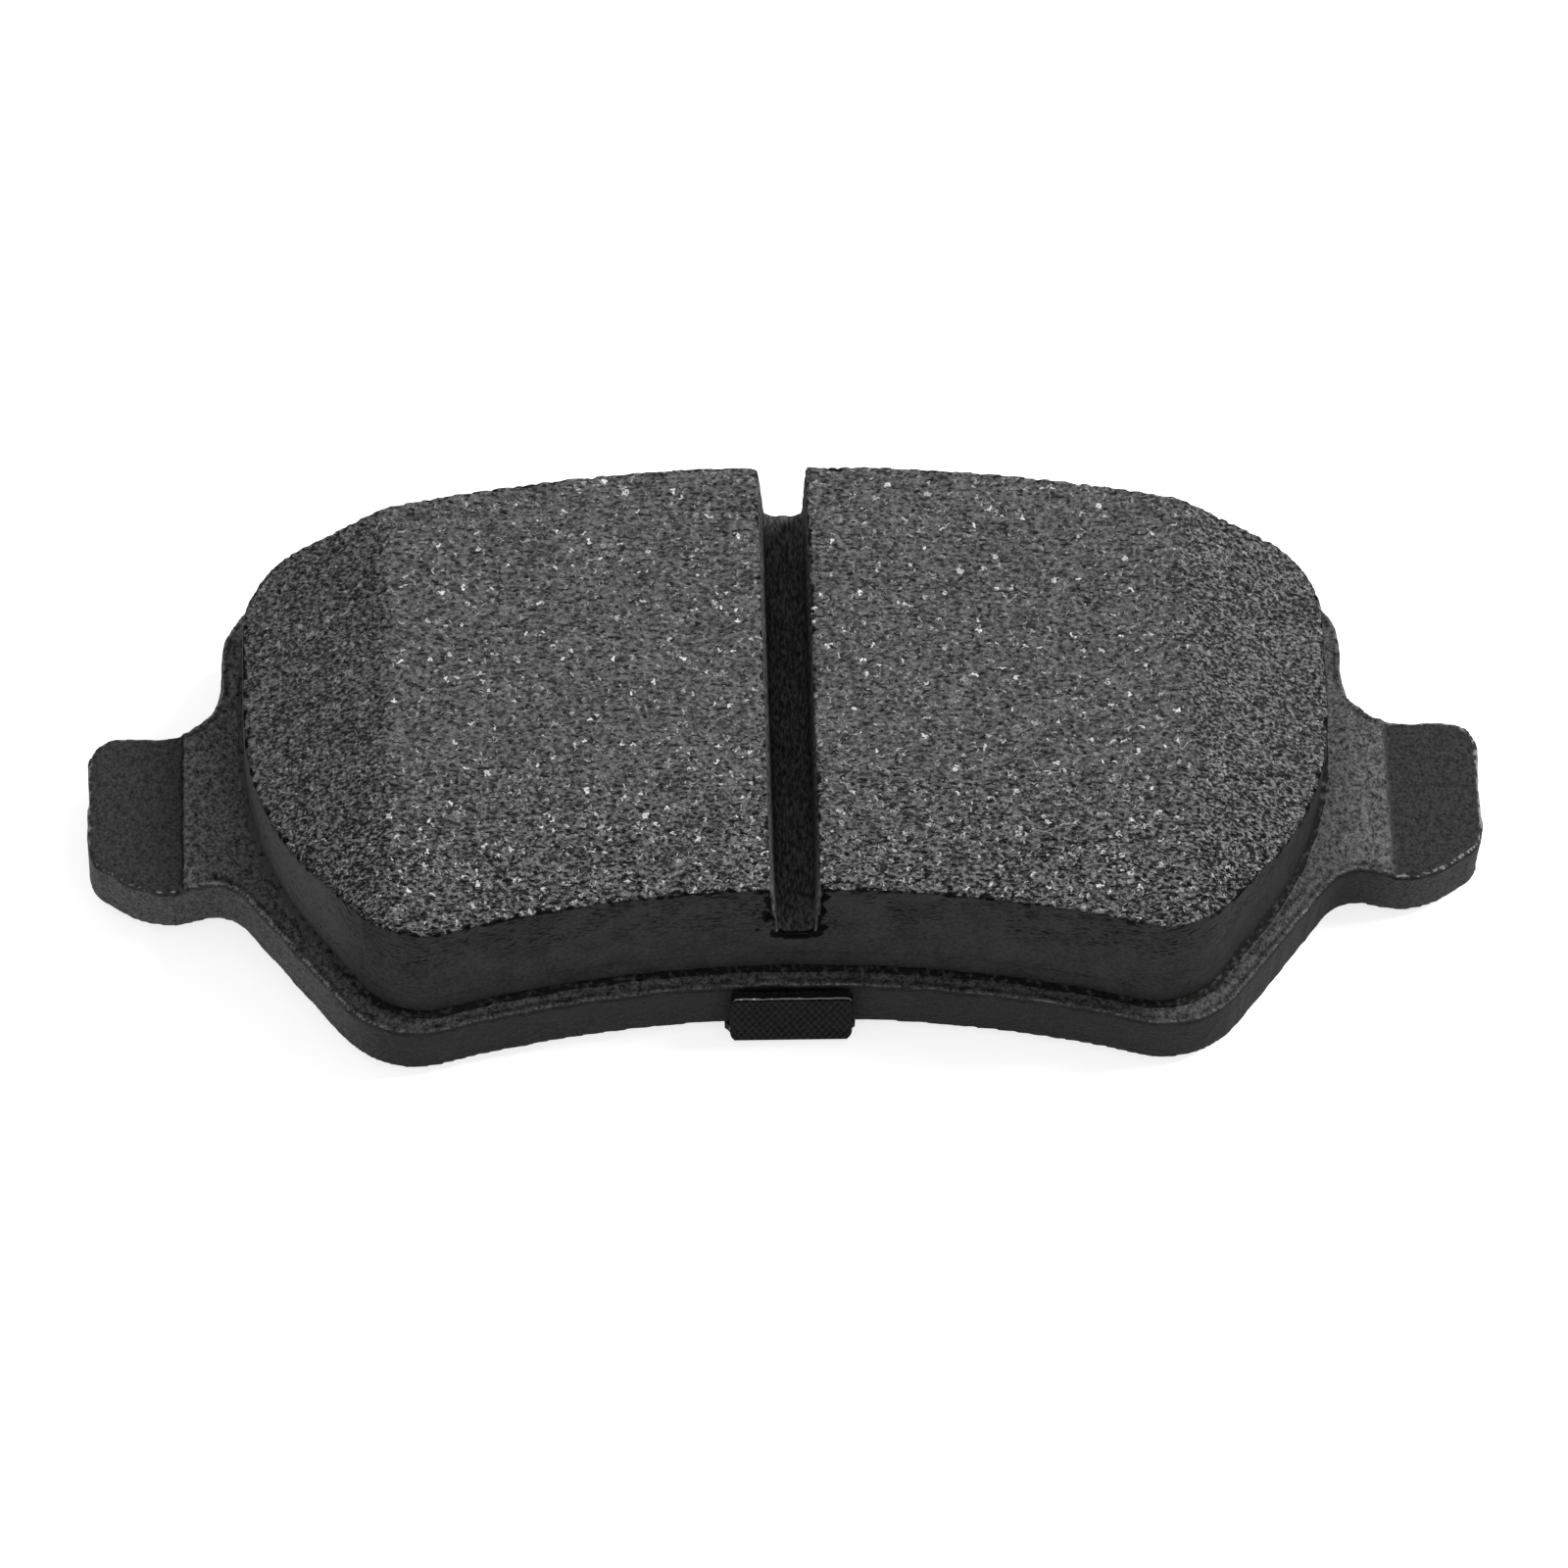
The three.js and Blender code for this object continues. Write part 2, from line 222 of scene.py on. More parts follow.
def dress(piece, material):
    """Gives a piece one material in place of any that it had."""
    piece.data.materials.clear()
    piece.data.materials.append(material)


def read_mesh(piece):
    """The points of a piece, in millimetres, and its normals."""
    points = np.empty(len(piece.data.vertices) * 3)
    normals = np.empty_like(points)
    piece.data.vertices.foreach_get("co", points)
    piece.data.vertices.foreach_get("normal", normals)
    return points.reshape(-1, 3) / MM, normals.reshape(-1, 3)


def write_points(piece, points):
    piece.data.vertices.foreach_set("co", (points * MM).ravel())
    piece.data.update()


def write_mask(piece, name, values):
    """Stores a share for each point, which the material reads by that name."""
    mask = piece.data.attributes.new(name, "FLOAT", "POINT")
    mask.data.foreach_set("value", values.astype(np.float32))


def smooth_step(values, low, high):
    """0 at low, 1 at high and smooth between them, whichever is larger."""
    share = np.clip((values - low) / (high - low), 0, 1)
    return share * share * (3 - 2 * share)


def lumps(points, size, seed, where=None):
    """Noise from -1 to 1, with lumps about that size apart; where limits it to some points."""
    made = np.zeros(len(points))
    chosen = np.arange(len(points)) if where is None else np.flatnonzero(where)
    offset = Vector((seed * 17.3, seed * 5.9, seed * 11.1))
    scaled = (points[chosen] / size).tolist()
    made[chosen] = [noise.noise(Vector(point) + offset) for point in scaled]
    return made


def distance_to(points, targets):
    """How far each point is from the nearest target."""
    tree = kdtree.KDTree(len(targets))
    for index, target in enumerate(targets.tolist()):
        tree.insert(target, index)
    tree.balance()
    return np.array([tree.find(point)[2] for point in points.tolist()])


def covered_by(points, node, direction):
    """True for the points that look at a CAD node along a direction."""
    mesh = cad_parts[node].data
    tree = BVHTree.FromPolygons([v.co for v in mesh.vertices], [p.vertices for p in mesh.polygons])
    way = Vector(direction)
    starts = ((points - 0.5 * np.array(direction)) * MM).tolist()
    return np.array([tree.ray_cast(Vector(start), way)[0] is not None for start in starts])


plate_low, plate_high = (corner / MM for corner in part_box("backing_plate"))
rotor_y = plate_high.y - PLATE_OUTER_RADIUS
plate = new_piece("coated_plate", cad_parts["backing_plate"].data.copy())
make_even(plate, PLATE_VOXEL)
points, normals = read_mesh(plate)
x, y, z = points.T
upward = normals[:, 2]

# Where the plate is bare, how far each point is from its stamped edge, and the craters.
facing_up = upward > LIES_FLAT
on_edge = np.abs(upward) < STANDS_UP
hidden = facing_up & covered_by(points, "bonding_film", (0, 0, 1))
hidden |= (upward < -LIES_FLAT) & covered_by(points, "shim_adhesive", (0, 0, -1))
bare = ~hidden
traced = (z > plate_high.z - OUTLINE_FOOT) & (z < plate_high.z - OUTLINE_TOP)
outline = points[on_edge & traced]
flat_points = points * (1, 1, 0)
from_edge = np.full(len(points), FAR_AWAY)
from_edge[facing_up & bare] = distance_to(flat_points[facing_up & bare], outline * (1, 1, 0))
coin_start = plate_high.x - COIN_LENGTH
tip = smooth_step(np.abs(x), coin_start, coin_start + COIN_STEP)
blasted = np.where(facing_up, 1 - COIN_SMOOTH * tip, EDGE_BLAST) * bare
relief = BLAST_DEPTH * blasted * (lumps(points, 0.9, 1, bare) + 0.8 * lumps(points, 0.42, 2, bare))

# The coat runs thin in a groove beside the edge, and in a broken second one along the inner edge.
groove = np.exp(-((from_edge - GROOVE_INSET) / GROOVE_WIDTH) ** 2)
drift = 0.3 * lumps(points, 1.6, 7, bare) + 0.15 * lumps(points, 0.6, 8, bare)
second_groove = np.exp(-((from_edge + drift - SECOND_INSET) / GROOVE_WIDTH) ** 2)
second_groove *= smooth_step(y, *SECOND_ACROSS) * smooth_step(np.abs(x), *SECOND_ALONG)
groove = np.maximum(groove, 0.8 * second_groove)
groove *= np.clip(0.8 + 0.9 * lumps(points, 1.3, 9, bare), 0.25, 1)
relief -= LEDGE_GROOVE * groove * (1 - tip) * (0.7 + 0.6 * lumps(points, 1.1, 3, bare))

# The stamped edge wanders over its whole height, most of all near its top, and has a few nicks.
tip_top = z[tip > 0.9].max()
local_top = plate_high.z + (tip_top - plate_high.z) * tip
near_top = smooth_step(z - local_top, -0.9, -0.1) * (upward < 0.9)
along_edge = points * (1, 1, 0.3)
wander = lumps(along_edge, 1.7, 4, bare) + 0.7 * lumps(along_edge, 0.7, 5, bare)
relief += EDGE_WANDER * np.maximum(near_top, 0.6 * on_edge) * wander
for nick_x, nick_y, reach, depth in NICKS:
    away = np.hypot(x - nick_x, y - nick_y)
    relief -= depth * smooth_step(away, reach, 0.2 * reach) * on_edge
relief += EDGE_WAVE * lumps(points, 2.6, 6, bare) * on_edge
write_points(plate, points + normals * relief[:, None])

# What the coat looks like in each place: keyed or smooth, in painted shade, or worn.
clean_shear = smooth_step(x, *CLEAN_FROM) * smooth_step(x, *CLEAN_TO)
outboard = smooth_step(np.abs(x), *EAR_ROOT)
to_left = smooth_step(x, 5, -5)
keyed = facing_up * (1 - tip) * (0.62 + 0.38 * outboard) * (0.8 + 0.2 * to_left)
write_mask(plate, "blasted", keyed + 0.3 * on_edge * (1 - clean_shear) * to_left)
coin_step_shade = np.abs(np.abs(x) - plate_high.x + COIN_LENGTH) < COIN_SHADE_WIDTH
coin_step_shade = coin_step_shade * np.where(x < 0, 1, 0.3)  # the right tip's step faces the lamp, so it gets less painted shade
# The groove mask is painted shade: near black in the grooves, in the coining step and in a line just
# below the top of the stamped edge.
under_top_shade = on_edge * np.exp(-((z - local_top + TOP_SHADE_DEPTH) / TOP_SHADE_WIDTH) ** 2)
under_top_shade = under_top_shade * np.clip(0.75 + wander, 0, 1)
groove = np.maximum(groove * (1 - tip), coin_step_shade * facing_up)
write_mask(plate, "groove", np.maximum(groove, under_top_shade))
# Painted shade over the faces of the stamped edge, deepest in its middle.
write_mask(plate, "sheared", on_edge * (0.2 + 0.95 * clean_shear))
rim = np.exp(-((from_edge - RIM_INSET) / RIM_WIDTH) ** 2)
knocked = smooth_step(x, *KNOCKED_END) * (1 - tip)
write_mask(plate, "rim", rim * (0.5 + 0.35 * tip + 0.15 * (x > 0) + 0.5 * knocked))
thin_out(plate, PLATE_FACES)

coat, place = new_finish("powder_coat")
blast = place.mask("blasted")
groove_shade = place.mask("groove")
rim_line = place.mask("rim")
edge_face_shade = place.mask("sheared")
fine = place.mottle(0.2, 2)
coarse = place.mottle(0.5, 2)
# Blast craters, painted darker as the shade in them.
shaded_crater = place.moved(9, 0, 0).mottle(0.28, 1).step(0.44, 0.36) * blast
level = 0.55 + (fine - 0.5) * (1.3 + blast * 0.4) + (coarse - 0.5) * (0.7 + blast * 0.4)
level = level.step(0, 1)
tone = blast.paint(level.paint(COAT_DARK, COAT_LIGHT), level.paint(BLAST_DARK, BLAST_LIGHT))
# Painted shade: in the craters, over the faces of the stamped edge, and in the grooves.
tone = (shaded_crater * 0.35).paint(tone, COAT_DARK)
tone = (edge_face_shade * 0.6).paint(tone, COAT_DARK)
tone = (groove_shade * 0.85).paint(tone, GROOVE_SHADE_BLACK)
# Worn rim, painted light, partly as the highlight along the edge.
chip = (rim_line + (place.mottle(0.5, 2) - 0.5) * 1.5).step(0.62, 0.9)
tone = chip.paint(tone, COAT_WORN_AND_HIGHLIGHT)
height = (fine * 0.12 + coarse * 0.2) * (0.4 + blast * 0.6) - shaded_crater * 0.06
close_finish(coat, tone, height, 0.7 + (coarse - 0.5) * 0.3, Specular_IOR_Level=0.04)
dress(plate, coat)
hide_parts("backing_plate")
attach(plate, "root")


# Bonding film. Phenolic resin, rolled on the plate before moulding. The press squeezes a thin,
# uneven line of it out round the foot of the lining, where it cures dark and slightly glossy;
# its dark tone is also painted shade at the foot of the lining.

FILM_DARK = (0.016, 0.0155, 0.015, 1)
FILM_LIGHT = (0.09, 0.089, 0.086, 1)
FILM_WANDER = 0.12
FILM_STRIP = 0.8
RIM_LEAN = 0.3  # least sideways lean of the film's rim
FILM_LIT_END = (-27, -34)  # the line is painted lighter towards this end, against the shade there
WELD_GAP = 0.001


def weld_skin(piece):
    """Joins the corners that neighbouring faces share, so that the mesh is one skin."""
    weld = piece.modifiers.new("one skin", "WELD")
    weld.merge_threshold = WELD_GAP * MM
    apply_modifiers(piece)


def cut_in_strips(piece, axis, low, high, width):
    """Cuts a mesh across one axis at even steps, so that it has points to move."""
    mesh = bmesh.new()
    mesh.from_mesh(piece.data)
    normal = Vector((axis == 0, axis == 1, axis == 2))
    for place_on_axis in np.arange(low, high, width):
        everything = [*mesh.verts, *mesh.edges, *mesh.faces]
        where = normal * float(place_on_axis) * MM
        bmesh.ops.bisect_plane(mesh, geom=everything, dist=1e-7, plane_co=where, plane_no=normal)
    mesh.to_mesh(piece.data)
    mesh.free()


film_low, film_high = (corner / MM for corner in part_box("bonding_film"))
film = new_piece("resin_line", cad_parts["bonding_film"].data.copy())
weld_skin(film)
cut_in_strips(film, 0, film_low.x, film_high.x, FILM_STRIP)
cut_in_strips(film, 1, film_low.y, film_high.y, FILM_STRIP)
points, normals = read_mesh(film)
outward = normals * (1, 1, 0)
outward /= np.maximum(np.linalg.norm(outward, axis=1), 1e-6)[:, None]
from_middle = points - (0, (film_low.y + film_high.y) / 2, 0)
rim = np.linalg.norm(normals * (1, 1, 0), axis=1) > RIM_LEAN
in_hole = np.sum(outward * from_middle, axis=1) < 0
spill = FILM_WANDER * (lumps(points, 1.9, 11) + 0.7 * lumps(points, 0.8, 12) - 0.1)
write_points(film, points + outward * (spill * rim * ~in_hole)[:, None])

resin, place = new_finish("cured_resin")
streak = place.mottle(0.5, 2)
painted_light_end = place.part("X").step(*FILM_LIT_END)
# Painted light towards the left end, lifting the shade at the lining's foot there.
tone = (streak + painted_light_end * 0.25).step(0.48, 0.76).paint(FILM_DARK, FILM_LIGHT)
close_finish(resin, tone, streak * 0.05, 0.4 + streak * 0.2, Specular_IOR_Level=0.06)
dress(film, resin)
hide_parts("bonding_film")
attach(film, "root")


# Underlayer and friction lining. Two dry mixes, hot pressed into one moulding with a smooth skin,
# whose plugs fill the plate's holes. The face and its two lead-ins are then ground and the slot is
# sawn, which crumbles their edges.

MOULD_VOXEL = 0.22
MOULD_FACES = 205000
GROUND_DEPTH = 0.12  # what lies this near the ground surface belongs to it
FACE_PITS = 0.21
FACE_WAVE = 0.018
RIM_CRUMBLE = 0.2
RIM_BAND = 1.2  # depth of wall that is searched for the rim
CRUMBLE_REACH = 0.3
CRUMBLE_SHOWS = 0.24
END_LIGHT_START = 9  # the skin is painted light from this far in to the left end, fully so from the next
END_LIGHT_FULL = 5
INNER_SIDE = (-2, -16)  # the grinder bit deeper towards the inner edge
SKIN_WAVE = 0.03
SKIN_DENTS = 0.15
DENTS_FOOT = 6  # the skin is dented down to here below the face, and fully so from the next
DENTS_TOP = 3
DASH_FOOT = 6.5  # dashes show from here up, below the top, and fully so from the next
DASH_TOP = 3.5
SLOT_HALF = 1.8
SLOT_DEPTH = 6.5
SLOT_ROUGH = 0.05
SLOT_LEAN = 0.25  # the saw runs slightly out of square
MOUTH_HALF = 3.4  # the wall is chipped to this side of the slot's middle
MOUTH_CHIPS = 0.5
CHIPS_FOOT = 6.4  # no chips from here down, below the face
CHIPS_FADE = 5.4
SLOT_FLOOR_SHADE_DEPTH = 0.5  # painted shade on the slot's floor reaches this far from the inner wall, where the saw left its broken lip
LEAD_IN = 9.9
LEAD_DROP = 5
UNDERLAYER = 2
SKIN_DARK = (0.008, 0.008, 0.008, 1)
SKIN_LIGHT = (0.036, 0.036, 0.036, 1)
HOLLOW_SHADE = (0.008, 0.008, 0.008, 1)
FACE_MIDDLE = (0.03, 0.03, 0.03, 1)
FACE_LIGHT = (0.24, 0.24, 0.24, 1)
FACE_FLECK = (0.9, 0.9, 0.9, 1)
FLECK_SPACING = 1.05
FLECK_WIDTH = 0.24
SMALL_SPACING = 0.4
SMALL_WIDTH = 0.17
SLOT_DARK = (0.028, 0.028, 0.028, 1)
SLOT_LIGHT = (0.17, 0.17, 0.17, 1)
SHADE_AND_DASH_BLACK = (0.003, 0.003, 0.003, 1)
END_WALL_PAINTED_LIGHT = (0.065, 0.065, 0.065, 1)


def cut_off(piece, name, height, keep_above):
    """The part of a piece above or below a height, closed with a flat face."""
    mesh = bmesh.new()
    mesh.from_mesh(piece.data)
    everything = [*mesh.verts, *mesh.edges, *mesh.faces]
    cut = bmesh.ops.bisect_plane(
        mesh,
        geom=everything,
        dist=1e-7,
        plane_co=(0, 0, height * MM),
        plane_no=(0, 0, 1),
        clear_inner=keep_above,
        clear_outer=not keep_above,
    )
    loop = [part for part in cut["geom_cut"] if isinstance(part, bmesh.types.BMEdge)]
    bmesh.ops.contextual_create(mesh, geom=loop)
    bmesh.ops.recalc_face_normals(mesh, faces=mesh.faces)
    half = bpy.data.meshes.new(name)
    mesh.to_mesh(half)
    mesh.free()
    return new_piece(name, half)


lining_low, lining_high = (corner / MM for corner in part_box("friction_lining"))
moulding = new_piece("moulding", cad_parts["underlayer"].data.copy())
joined = moulding.modifiers.new("pressed together", "BOOLEAN")
joined.operation = "UNION"
joined.solver = "EXACT"
joined.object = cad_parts["friction_lining"]
apply_modifiers(moulding)
make_even(moulding, MOULD_VOXEL)
points, normals = read_mesh(moulding)
x, y, z = points.T
lead_start = lining_high.x - LEAD_IN
face_height = lining_high.z - LEAD_DROP * np.clip((np.abs(x) - lead_start) / LEAD_IN, 0, 1)
slot_floor = lining_high.z - SLOT_DEPTH
below_face = face_height - z

# Which points belong to the ground face, to the slot's sides or to the moulded wall.
ground = (below_face < GROUND_DEPTH) & (normals[:, 2] > 0.6)
in_slot = (np.abs(x) < SLOT_HALF) & (z > slot_floor - 0.3) & (below_face > GROUND_DEPTH)
in_slot &= np.abs(normals[:, 1]) < 0.6
wall = ~ground & ~in_slot & (z > lining_low.z - UNDERLAYER) & (normals[:, 2] > -0.5)
wall &= z > plate_high.z
corner_ring = (below_face < 0.5) & (normals[:, 2] > 0.15) & (normals[:, 2] < 0.82)
near_face = ground | (wall & (below_face < RIM_BAND))
from_rim = np.full(len(points), FAR_AWAY)
from_rim[near_face] = distance_to(points[near_face], points[corner_ring])

# Pits in the ground face, crumbling round its rim, and waves and dents in the moulded skin.
pits = np.maximum(0, lumps(points, 0.5, 21, ground) - 0.18)
relief = -FACE_PITS * pits * ground
relief += FACE_WAVE * lumps(points, 0.95, 22, ground)
crumble = np.maximum(0, lumps(points, 0.45, 23, near_face) + 0.5 * lumps(points, 1.3, 24, near_face))
relief -= RIM_CRUMBLE * crumble * np.exp(-(from_rim / CRUMBLE_REACH) ** 2)
relief += SKIN_WAVE * lumps(points, 2.4, 25, wall) * wall
dents = np.maximum(0, lumps(points * (1, 1, 4), 0.9, 26, wall) - 0.4)
relief -= SKIN_DENTS * dents * wall * smooth_step(below_face, DENTS_FOOT, DENTS_TOP)

# The saw chips the slot's mouth, roughens its sides and leans a little.
mouth = wall & (np.abs(x) < MOUTH_HALF) & (z > slot_floor - 0.2)
from_mouth = np.abs(x) - SLOT_HALF + 0.15
ragged = lumps(points * (1, 1, 0.9), 0.6, 27, mouth) + 0.5 * lumps(points, 0.3, 29, mouth)
chips = np.maximum(0, ragged + 0.35 - 0.75 * np.maximum(from_mouth, 0))
relief -= MOUTH_CHIPS * chips * mouth * smooth_step(below_face, CHIPS_FOOT, CHIPS_FADE)
relief += SLOT_ROUGH * lumps(points, 0.6, 28, in_slot) * in_slot
points = points + normals * relief[:, None]
lean = SLOT_LEAN * np.clip(below_face / SLOT_DEPTH, 0, 1)
points[:, 0] += lean * smooth_step(np.abs(x), 3.2, 1.9) * (z > slot_floor - 1)
write_points(moulding, points)

# What shows in each place: ground face, sawn slot, painted shade in the chips, or painted light on
# one end.
write_mask(moulding, "ground", ground)
write_mask(moulding, "slot", in_slot)
# Painted shade in the chips at the slot's mouth, on the slot's floor by the inner wall and in the
# crumbled rim.
shaded_chips = np.clip(4 * chips * mouth * smooth_step(below_face, CHIPS_FOOT, CHIPS_FADE), 0, 1)
inner_wall_y = y[np.abs(x) < 1].min()
off_centre = np.minimum(np.abs(x) / SLOT_HALF, 1)
slot_floor_shade = (y < inner_wall_y + SLOT_FLOOR_SHADE_DEPTH) & (off_centre < 0.97)
slot_floor_shade &= (z - slot_floor < 0.3 + 0.5 * off_centre**3) & (z - slot_floor > 0.4 * off_centre**2 - 0.4)
shaded_chips = np.maximum(shaded_chips, slot_floor_shade)
shaded_chips = np.maximum(shaded_chips, np.clip(3 * crumble * np.exp(-(from_rim / CRUMBLE_SHOWS) ** 2), 0, 1))
write_mask(moulding, "shaded_chips", shaded_chips)
# Painted light on the left end wall, lifting the shade it stands in.
end_wall = wall * smooth_step(np.abs(normals[:, 0]), 0.5, 0.95)
painted_end_light = end_wall * smooth_step(x, lining_low.x + END_LIGHT_START, lining_low.x + END_LIGHT_FULL)
write_mask(moulding, "painted_end_light", painted_end_light)
thin_out(moulding, MOULD_FACES)
underlayer = cut_off(moulding, "moulded_underlayer", lining_low.z, keep_above=False)
lining = cut_off(moulding, "ground_lining", lining_low.z, keep_above=True)
bpy.data.objects.remove(moulding)


def compound_finish(name):
    """The friction compound: its ground face, its moulded skin and its sawn slot."""
    material, place = new_finish(name)
    ground = place.mask("ground").step(0.35, 0.65)
    slot = place.mask("slot").step(0.3, 0.7)
    shaded_chips = place.mask("shaded_chips")
    across = place.part("X")
    along = place.part("Y")
    lead_in = across.maths("ABSOLUTE", across).step(lead_start - 0.3, lead_start + 0.6)
    near = along.step(*INNER_SIDE)
    coarse_end = 0.5 + near * 0.25 + across.step(-20, 20) * 0.65  # the left lead-in is ground finer

    # Ground face: two sizes of grain, painted shade in the hollows between them, and bright chips of
    # metal.
    grit = place.stretched(0.8, 1.1, 1).mottle(0.235, 1.5, 0.6)
    grain = place.stretched(0.75, 1.15, 1).moved(5, 0, 0).mottle(0.4, 2, 0.6)
    cloud = place.moved(0, 7, 0).mottle(1.7, 2)
    bite = near * 1.15 + lead_in * coarse_end
    level = 0.385 + (grit - 0.5) * (1.5 + bite * 1.4) + (grain - 0.5) * (1.2 + bite * 0.3)
    level = level + (cloud - 0.5) * 0.4 - lead_in * 0.05
    face = level.step(-0.1, 1.1).paint(FACE_MIDDLE, FACE_LIGHT)
    shaded_hollow = place.stretched(0.6, 1.25, 1).moved(0, 0, 3).mottle(0.32, 1.5, 0.55)
    shaded_hollow = (shaded_hollow - lead_in * 0.025 - near * 0.025).step(0.385, 0.345)
    face = (shaded_hollow * (0.8 + near * 0.15)).paint(face, HOLLOW_SHADE)
    wobble = place.add("TexNoise", None, {"Vector": place, "Scale": 2.6}, "Color")
    warped = place.add("VectorMath", {"operation": "ADD"}, {0: place, 1: wobble})
    fleck = warped.moved(0, 5, 0).stretched(0.8, 1, 1).flecks(FLECK_SPACING, FLECK_WIDTH, 0.33)
    fleck = fleck * (1 - lead_in * 0.7)
    small_fleck = warped.moved(3, 3, 3).flecks(SMALL_SPACING, SMALL_WIDTH, 0.3)
    small_fleck = small_fleck * (0.65 + near * 0.5 - lead_in * 0.1)
    face = (fleck + small_fleck * 0.6).paint(face, FACE_FLECK)
    # Painted shade in the chips and the crumbled rim.
    face = (shaded_chips.step(0.3, 0.8) * 0.9).paint(face, SHADE_AND_DASH_BLACK)

    # Moulded skin: mottled, painted light at one end, with short dark dashes in its upper part.
    skin_mottle = place.mottle(0.3, 2)
    skin_cloud = place.mottle(2.2, 2)
    skin_level = 0.62 + (skin_mottle - 0.5) * 0.9 + (skin_cloud - 0.5) * 0.6
    skin = skin_level.step(0, 1).paint(SKIN_DARK, SKIN_LIGHT)
    # Painted light on the left end wall.
    painted_end_light = place.mask("painted_end_light")
    skin = (painted_end_light * skin_mottle.step(0.15, 0.55)).paint(skin, END_WALL_PAINTED_LIGHT)
    dash = place.stretched(0.7, 0.7, 2.4).mottle(0.45, 1.5).step(0.43, 0.38)
    dash = dash * place.moved(0, 0, 9).mottle(4, 1).step(0.4, 0.52)
    upper = place.part("Z").step(lining_high.z - DASH_FOOT, lining_high.z - DASH_TOP)
    skin = (dash * upper * (0.8 - painted_end_light * 0.5)).paint(skin, SHADE_AND_DASH_BLACK)
    # Painted shade in the chips.
    skin = shaded_chips.step(0.2, 0.55).paint(skin, SHADE_AND_DASH_BLACK)

    # Sawn slot: marks that run along the cut.
    sawn = place.stretched(1, 0.35, 0.35).mottle(0.16, 2)
    sawn_tone = sawn.step(0.3, 0.8).paint(SLOT_DARK, SLOT_LIGHT)

    tone = ground.paint(skin, face)
    tone = slot.paint(tone, sawn_tone)
    # Painted shade in the chips of the slot.
    tone = (slot * shaded_chips).paint(tone, SHADE_AND_DASH_BLACK)
    face_height = grit * (0.12 + bite * 0.14) + grain * (0.22 + bite * 0.2)
    face_height = face_height - shaded_hollow * 0.1 + fleck * 0.04
    skin_height = skin_mottle * 0.02 - dash * upper * 0.06
    height = ground * face_height + (1 - ground) * skin_height + slot * sawn * 0.05
    roughness = 0.7 + ground * 0.2 + slot * 0.2
    close_finish(material, tone, height, roughness, Specular_IOR_Level=0.02)
    return material


for piece, node, slot_name in (
    (underlayer, "underlayer", "underlayer_compound"),
    (lining, "friction_lining", "friction_compound"),
):
    piece.data.shade_smooth()
    dress(piece, compound_finish(slot_name))
    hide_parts(node)
    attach(piece, "root")


# Shim adhesive. A thin sheet of pressure-sensitive acrylic that holds the shim to the plate and
# damps it. Only its edge ever shows, grey with dust.

ADHESIVE_DARK = (0.025, 0.025, 0.023, 1)
ADHESIVE_LIGHT = (0.07, 0.068, 0.062, 1)

glue, place = new_finish("acrylic_adhesive")
bubbles = place.mottle(0.8, 2)
tone = bubbles.step(0.3, 0.7).paint(ADHESIVE_DARK, ADHESIVE_LIGHT)
close_finish(glue, tone, bubbles * 0.03, 0.35 + bubbles * 0.2)
dress(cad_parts["shim_adhesive"], glue)


# Shim. A 0.5 mm steel sheet with nitrile rubber baked on both faces, blanked in one stroke, which
# leaves a bright sheared edge, and bent into three tabs that clip over the plate's edges.

STRIP = 0.8
TAB_STRIP = 0.2
BEND_STRIP = 0.13
LEG_STRIP = 0.4
TAB_BAND = 5  # half width of the finely cut band round the middle tab
RUBBER_DARK = (0.004, 0.004, 0.004, 1)
RUBBER_LIGHT = (0.024, 0.024, 0.024, 1)
STEEL_DULL = (0.006, 0.006, 0.006, 1)
STEEL_BRIGHT = (0.28, 0.28, 0.28, 1)
STEEL_GLINT = (0.9, 0.9, 0.9, 1)
TAB_WIDEST = 4.15  # half width of a clip tab's leg
TAB_WAIST = 3.85  # at the bend, between its two relief notches
LEG_WIDENS = (0.7, 1.6)  # heights between which it grows from one to the other
TAB_ROOT = 4.45  # where it leaves the sheet
TAB_CORNER = 0.35  # radius of the leg's two corners
TAB_BLANK = 4  # half width of the tab in the plain blank
BEND_REACH = 0.6  # the bend runs this far to either side of the plate's edge
TAB_BULGE = 0.5  # the leg leans in towards the plate's edge at its tip
WEAVE_PITCH = 0.5
EDGE_BURR = 0.07
BURNISH_DEPTH = 0.1  # the shear burnishes the steel this far in from the outer rubber
TEAR_SEED = 31  # one for all three layers, since they tear along one line


